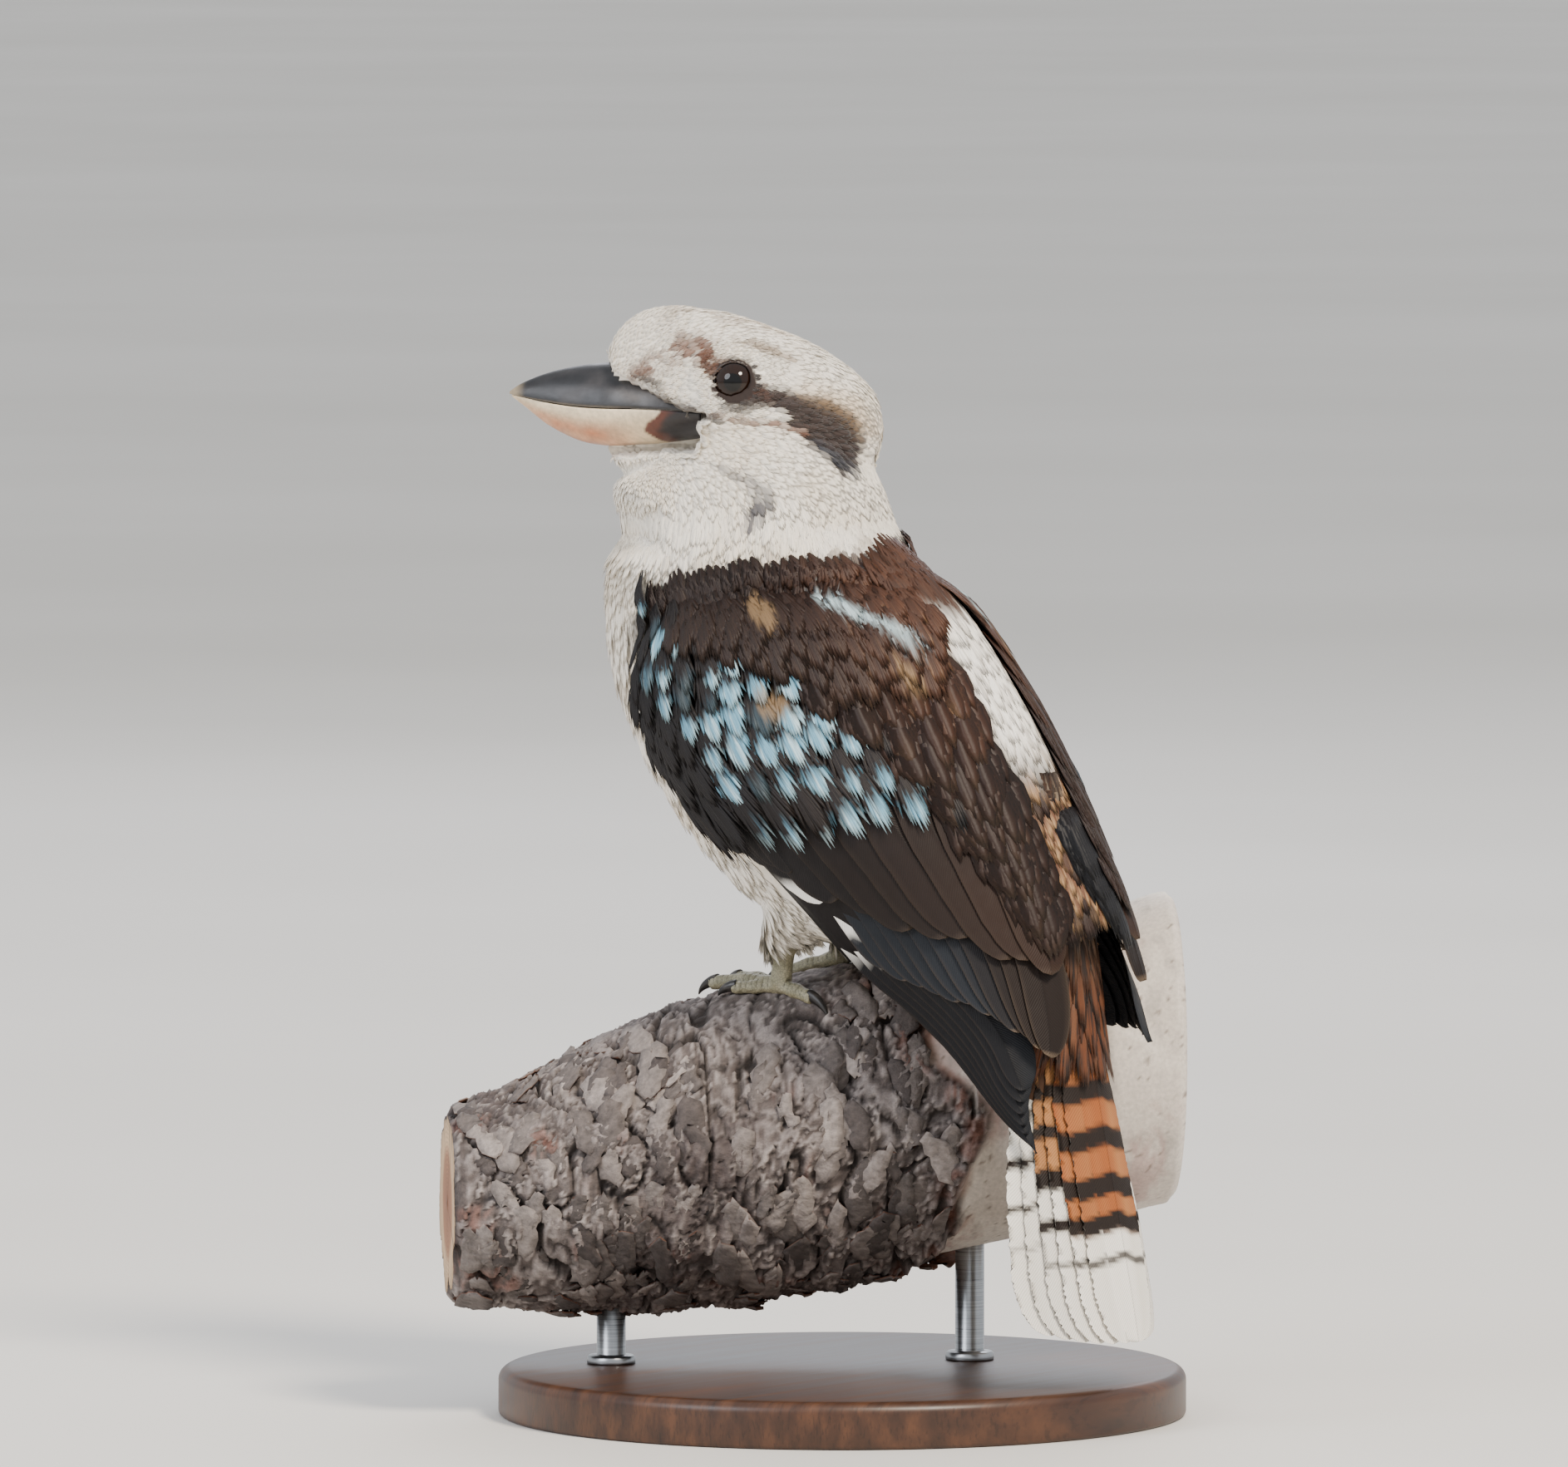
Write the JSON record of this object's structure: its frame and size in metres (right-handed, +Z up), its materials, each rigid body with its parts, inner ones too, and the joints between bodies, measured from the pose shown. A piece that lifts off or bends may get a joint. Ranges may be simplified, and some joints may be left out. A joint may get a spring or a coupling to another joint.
{
  "type": "laughing kookaburra model",
  "caption": "Life-size laughing kookaburra perched across a cut length of gum limb, head turned, wings folded and barred tail hanging, on a plain round display base.",
  "frame": {"origin": "middle of the round base's flat underside", "axes": "+Z up; the bird's body faces -Y and its left side is +X; the limb runs from front left to back right under its feet"},
  "size_m": [0.2462, 0.2584, 0.3794],
  "materials": {
    "white_plumage": "soft cream-white feathers",
    "brown_plumage": "dark brown feathers",
    "tail_plumage": "rufous and black barred feathers",
    "upper_bill": "satin blackish horn",
    "lower_bill": "satin pale horn",
    "eye": "wet dark brown",
    "foot": "dull grey-green scaled skin",
    "bark": "rough grey flaky bark and smooth pale bark",
    "stand_wood": "dark satin lacquer",
    "stand_metal": "fine brushed"
  },
  "bodies": {
    "root": {"head": "white_plumage", "neck": "white_plumage", "torso": "white_plumage", "bill_upper": "upper_bill", "bill_lower": "lower_bill", "eye_left": "eye", "eye_right": "eye", "wing_left": "brown_plumage", "wing_right": "brown_plumage", "tail": "tail_plumage", "leg_left": "white_plumage", "leg_right": "white_plumage", "foot_left": "foot", "foot_right": "foot", "perch": "bark", "stand_base": "stand_wood", "stand_rod_front": "stand_metal", "stand_rod_back": "stand_metal"}
  },
  "joints": []
}
